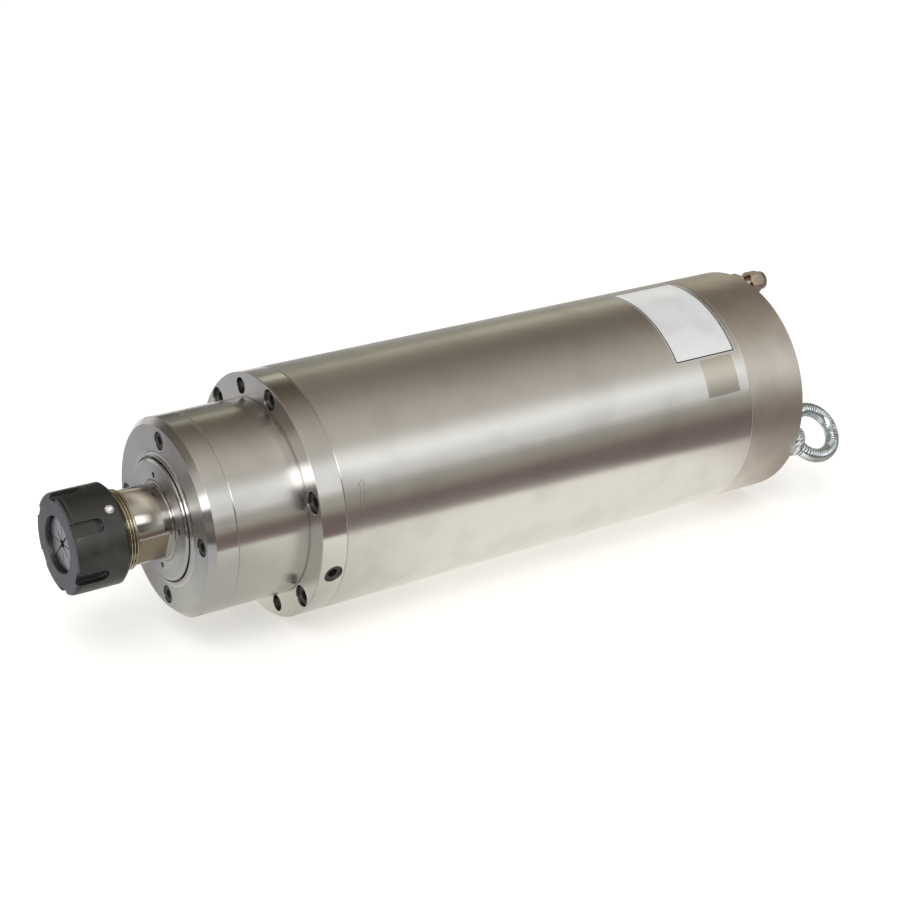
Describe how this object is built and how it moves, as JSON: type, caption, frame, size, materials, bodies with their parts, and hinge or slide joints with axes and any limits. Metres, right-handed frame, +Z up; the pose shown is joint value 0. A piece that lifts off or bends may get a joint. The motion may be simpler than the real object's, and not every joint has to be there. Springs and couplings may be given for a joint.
{
  "type": "motor spindle",
  "caption": "Water-cooled motor spindle with a stepped nose, mounting flange, collet and slotted collet nut, lifting eye and rear connections.",
  "frame": {"origin": "centre of the mounting flange's front face, on the spindle axis", "axes": "+X along the spindle axis from the nose to the rear, +Z up as the spindle lies in the picture, -Y towards the side that faces the camera"},
  "size_m": [0.4515, 0.1275, 0.125],
  "materials": {
    "turned_steel": "fine turned stainless steel, bright",
    "cover_steel": "turned steel, satin to bright",
    "slinger_steel": "turned steel, bright",
    "ground_steel": "ground alloy steel, glossy",
    "barrel_stainless": "polished stainless steel",
    "rear_steel": "fine turned stainless steel",
    "collet_steel": "ground spring steel",
    "black_nut": "black oxide, satin",
    "black_screw": "black oxide, oiled",
    "plated_screw": "zinc plated",
    "zinc_plate": "blue zinc plate on a forging",
    "nickel_brass": "nickel plated brass",
    "socket_metal": "plated die casting",
    "socket_plastic": "moulded insert with plated pins",
    "bearing_steel": "ground bearing steel",
    "cage_resin": "phenolic resin",
    "spacer_steel": "ground steel",
    "jacket_aluminium": "turned aluminium",
    "seal_rubber": "nitrile rubber",
    "lamination_steel": "stacked electrical sheet",
    "winding_copper": "varnished copper wire",
    "lead_insulation": "insulated wire",
    "cage_aluminium": "cast aluminium",
    "housing_iron": "turned cast iron",
    "spring_steel": "spring steel",
    "dark_steel": "blackened steel"
  },
  "bodies": {
    "housing": {"front_flange": "turned_steel", "flange_screws": "black_screw", "flange_plug": "black_screw", "front_cover": "cover_steel", "cover_screws": "black_screw", "barrel": "barrel_stainless", "rear_cover": "rear_steel", "rear_screws": "black_screw", "eye_bolt": "zinc_plate", "water_fittings": "nickel_brass", "fitting_nuts": "nickel_brass", "power_socket": "socket_metal", "socket_insert": "socket_plastic", "socket_screws": "plated_screw", "front_outer_rings": "bearing_steel", "front_outer_spacer": "spacer_steel", "water_jacket": "jacket_aluminium", "jacket_seals": "seal_rubber", "stator_core": "lamination_steel", "stator_winding": "winding_copper", "phase_leads": "lead_insulation", "rear_housing": "housing_iron", "preload_springs": "spring_steel", "rear_outer_rings": "bearing_steel", "rear_outer_spacer": "spacer_steel"},
    "rotor": {"slinger": "slinger_steel", "spindle_shaft": "ground_steel", "front_inner_rings": "bearing_steel", "front_inner_spacer": "spacer_steel", "rotor_core": "lamination_steel", "rotor_cage": "cage_aluminium", "rear_inner_rings": "bearing_steel", "rear_inner_spacer": "spacer_steel", "rear_locknut": "dark_steel"},
    "front_cage_set": {"front_balls": "bearing_steel", "front_cages": "cage_resin"},
    "rear_cage_set": {"rear_balls": "bearing_steel", "rear_cages": "cage_resin"},
    "collet": {"collet": "collet_steel"},
    "nut": {"collet_nut": "black_nut"}
  },
  "joints": [
    {"name": "spindle_spin", "type": "hinge", "parent": "housing", "child": "rotor", "pos_m": [0, 0, 0], "axis": [1, 0, 0], "continuous": true},
    {"name": "front_cage_spin", "type": "hinge", "parent": "housing", "child": "front_cage_set", "pos_m": [0, 0, 0], "axis": [1, 0, 0], "continuous": true},
    {"name": "rear_cage_spin", "type": "hinge", "parent": "housing", "child": "rear_cage_set", "pos_m": [0.2495, 0, 0], "axis": [1, 0, 0], "continuous": true},
    {"name": "collet_travel", "type": "slide", "parent": "rotor", "child": "collet", "axis": [-1, 0, 0], "range_m": [0, 0.01201]},
    {"name": "nut_turn", "type": "hinge", "parent": "collet", "child": "nut", "pos_m": [-0.095, 0, 0], "axis": [-1, 0, 0], "range_deg": [0, 2880]}
  ],
  "couplings": [
    {"joint": "front_cage_spin", "follows": "spindle_spin", "ratio": 0.4365},
    {"joint": "rear_cage_spin", "follows": "spindle_spin", "ratio": 0.4284},
    {"joint": "collet_travel", "follows": "nut_turn", "m_per_rad": 0.00023873}
  ]
}
